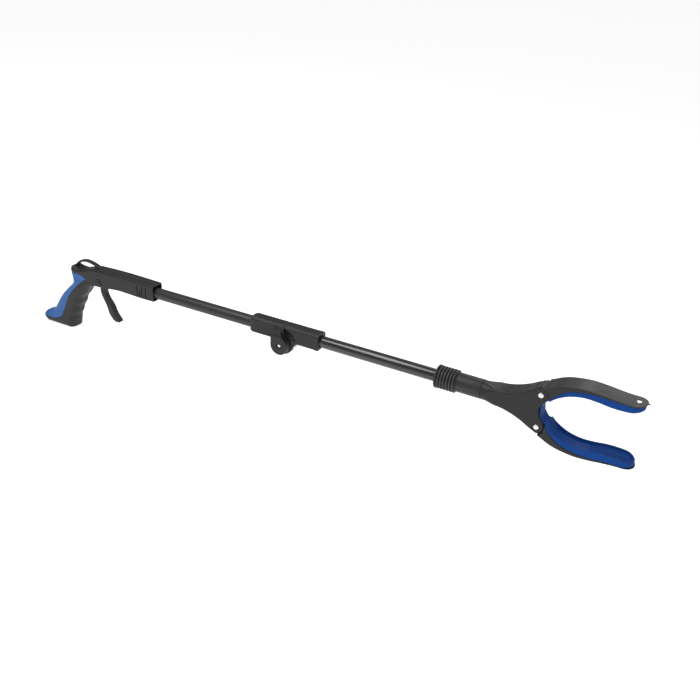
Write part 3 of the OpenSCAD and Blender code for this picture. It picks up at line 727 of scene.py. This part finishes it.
def jaw(name, body, node, lower):
    """Jaw with its root between the yoke plates and the crank arm that the crosshead moves."""
    c = Cells((119, -15, 0), (249, 15, 46), 0.4)
    px, pz = JAW_PIVOT
    band = jaw_band(c, OUTER_EDGE, MIDDLE_EDGE, JAW_HALF_W, JAW_TIP, 0.6)
    web = [(px, pz + HUB_R - 0.4), (141, 33.6), (150, 33), (143, 18), (px + 4, pz - 7.4)]
    root = either(disc(JAW_PIVOT, HUB_R, c), outline(web, c.x, c.z))
    root = both(root, c.side - PLATE_IN + 0.3, 0.4)
    cheek = [(px - 7, pz - 3), (px + 1.5, pz - 3), (px + 0.5, pz - 15),
             (CRANK_PIN[0] - 3, CRANK_PIN[1] - 2)]
    crank = either(disc(CRANK_PIN, 3.6, c), outline(cheek, c.x, c.z))
    crank = both(crank, span(c.side, 4.4, PLATE_IN - 0.3), 0.3)
    form = either(band, either(root, crank), 0.3)
    form = without(form, disc(JAW_PIVOT, PIN_R + FIT, c))
    form = without(form, disc(CRANK_PIN, 1.6, c))
    pad_room = np.concatenate([[(130.6, 0), (131.2, 5.5), (132.6, 10), (138.8, 17.6)], MIDDLE_EDGE,
                               [(250, 39.7), (250, 0)]])
    form = without(form, outline(pad_room, c.x, c.z), 0.15)
    if not lower:
        form = without(form, np.hypot(c.x - MAGNET_X, c.y) - (MAGNET_R + 0.05), 0.2)
        nib = both(box(c.x, c.z, (243, 39.8), (247, 41), 0.3), c.side - 0.8, 0.3)
        form = either(form, nib, 0.3)
    mould(name, COLLAR, c, form, body, BLACK, [node], mirrored=lower)


def jaw_pad(name, body, node, lower):
    """Rubber pad with raised rims, and fine chevron ribs towards its tip."""
    half_w = JAW_HALF_W - 0.4
    c = Cells((129, -14.6, -0.5), (246, 14.6, 42), 0.35)
    band = jaw_band(c, MIDDLE_EDGE, INNER_EDGE, half_w, JAW_TIP - 1.5, 0.9)
    mouth = np.concatenate([[(120, -10), (136, 12)], INNER_EDGE, [(260, 40), (260, -10)]])
    reach = smooth((c.x - 143) / 12)
    ribs = smooth((c.x - 191) / 3) * smooth((239 - c.x) / 3)
    chevrons = 0.5 + 0.5 * np.cos(2 * math.pi * (c.x + 0.16 * c.side ** 1.5) / 3.1)
    depth = 2.5 * reach - 0.9 * ribs * chevrons
    plan = np.hypot(np.maximum(c.x - (JAW_TIP - 1.5 - half_w), 0), c.y) - half_w
    channel = both(outline(mouth, c.x, c.z) - depth, plan + 2.4, 0.9)
    form = without(band, channel, 0.6)
    flap_front = curve([(132.5, 0.4), (133.1, 5.5), (134.7, 10), (141.5, 16)])
    flap_rear = curve([(130.8, 0.4), (131.4, 5.5), (132.8, 10), (139, 17.4)])
    flap = outline(np.concatenate([flap_front, flap_rear[::-1]]), c.x, c.z)
    flap = both(flap, c.side - PLATE_IN + 0.4, 0.3)
    mould(name, COLLAR, c, either(form, flap, 3), body, PAD, [node], mirrored=lower)


def magnet():
    """Thin disc in the back of the upper jaw."""
    centre = COLLAR + Vector((MAGNET_X, 0, 0))
    profile = bevelled([(39.3, 0), (39.3, MAGNET_R), (40.6, MAGNET_R), (40.6, 0)], 0.3)
    turned("pickup_magnet.turned", [(centre, "z", profile)], "upper_jaw", STEEL, ["pickup_magnet"], 48)


handle_shell(-1, "handle_shell_right.moulded", "handle_shell_right")
handle_shell(1, "handle_shell_left.moulded", "handle_shell_left")
backstrap()
hanging_loop()
trigger()
rear_block()
front_block()
tubes()
pivot_screw()
cable_crossing()
sleeve_and_neck()
yoke_shell(-1, "head_shell_right.moulded", "head_shell_right")
yoke_shell(1, "head_shell_left.moulded", "head_shell_left")
jaw_pins()
jaw("upper_jaw.moulded", "upper_jaw", "upper_jaw", False)
jaw("lower_jaw.moulded", "lower_jaw", "lower_jaw", True)
jaw_pad("upper_jaw_pad.moulded", "upper_jaw", "upper_jaw_pad", False)
jaw_pad("lower_jaw_pad.moulded", "lower_jaw", "lower_jaw_pad", True)
magnet()


# ---------- small parts that keep their CAD shape ----------

slots = {part["node"]: part["material_slot"] for part in frame["record"]["subparts"]}
for node, thing in frame["nodes"].items():
    finish = FINISHES[slots[node]]
    thing.data.materials.clear()
    thing.data.materials.append(finish["material"])
    thing.data.shade_smooth()
    weld = thing.modifiers.new("weld", "WELD")
    weld.merge_threshold = 1e-6
    bevel = thing.modifiers.new("bevel", "BEVEL")
    bevel.width = EDGE_BEVEL * MM
    bevel.segments = 2
    bevel.limit_method = "ANGLE"
    bevel.angle_limit = math.radians(SHARP_ANGLE)
    bevel.harden_normals = True


# ---------- studio, in metres ----------

WORLD_STRENGTH = 0.32
LAMPS = (                # name, place from the hinge, width and power
    ("key", (-0.5, -0.5, 1.4), 0.9, 17),
    ("fill", (0.9, -1.0, 0.5), 1.2, 3),
    ("rim", (0.2, 1.2, 0.9), 0.8, 6),
)
PAPER_GLOW = 0.75
FLOOR_HALF = 40
FLOOR_DROP = 0.0005
CAMERA_AZIMUTH = 27.5    # degrees
CAMERA_ELEVATION = 27.5
CAMERA_ROLL = 2.91
CAMERA_LENS = 47.97      # millimetres, on a sensor 36 wide
CAMERA_DISTANCE = 1.173
CAMERA_AIM = 93.2        # millimetres ahead of the seam


def world():
    """Even white light from all round."""
    surroundings = bpy.data.worlds.new("studio")
    bpy.context.scene.world = surroundings
    surroundings.use_nodes = True
    background = surroundings.node_tree.nodes["Background"]
    background.inputs["Color"].default_value = (1, 1, 1, 1)
    background.inputs["Strength"].default_value = WORLD_STRENGTH


def lights():
    """Soft lamps that face the hinge."""
    aim = (SEAM + Vector((20, 0, 0))) * MM
    for name, offset, size, power in LAMPS:
        light = bpy.data.lights.new(name, "AREA")
        light.size = size
        light.energy = power
        lamp = bpy.data.objects.new(name, light)
        bpy.context.scene.collection.objects.link(lamp)
        lamp.location = aim + Vector(offset)
        lamp.rotation_euler = (-Vector(offset)).to_track_quat("-Z", "Y").to_euler()


def floor():
    """Pale paper just under the part, lit from within so that it stays near white."""
    paper = bpy.data.materials.new("paper")
    paper.use_nodes = True
    sheet = paper.node_tree.nodes["Principled BSDF"]
    sheet.inputs["Base Color"].default_value = (0.6, 0.6, 0.6, 1)
    sheet.inputs["Roughness"].default_value = 0.9
    sheet.inputs["Emission Color"].default_value = (1, 1, 1, 1)
    sheet.inputs["Emission Strength"].default_value = PAPER_GLOW
    half = FLOOR_HALF
    mesh = bpy.data.meshes.new("floor")
    corners = [(-half, -half, 0), (half, -half, 0), (half, half, 0), (-half, half, 0)]
    mesh.from_pydata(corners, [], [(0, 1, 2, 3)])
    mesh.materials.append(paper)
    ground = bpy.data.objects.new("floor", mesh)
    bpy.context.scene.collection.objects.link(ground)
    ground.location.z = -FLOOR_DROP


def camera():
    """Camera at the photo's viewing angle, close to the part, with a slight roll."""
    azimuth = math.radians(CAMERA_AZIMUTH)
    elevation = math.radians(CAMERA_ELEVATION)
    roll = math.radians(CAMERA_ROLL)
    back = Vector((math.sin(azimuth) * math.cos(elevation), -math.cos(azimuth) * math.cos(elevation),
                   math.sin(elevation)))
    level = Vector((math.cos(azimuth), math.sin(azimuth), 0))
    up = back.cross(level)
    right = math.cos(roll) * level + math.sin(roll) * up
    top = math.cos(roll) * up - math.sin(roll) * level
    data = bpy.data.cameras.new("camera")
    data.sensor_width = 36
    data.lens = CAMERA_LENS
    cam = bpy.data.objects.new("camera", data)
    bpy.context.scene.collection.objects.link(cam)
    spot = (SEAM + Vector((CAMERA_AIM, 0, 0))) * MM + back * CAMERA_DISTANCE
    cam.matrix_world = Matrix.Translation(spot) @ Matrix((right, top, back)).transposed().to_4x4()
    bpy.context.scene.camera = cam


world()
lights()
floor()
camera()
bpy.context.scene.view_settings.view_transform = "Standard"
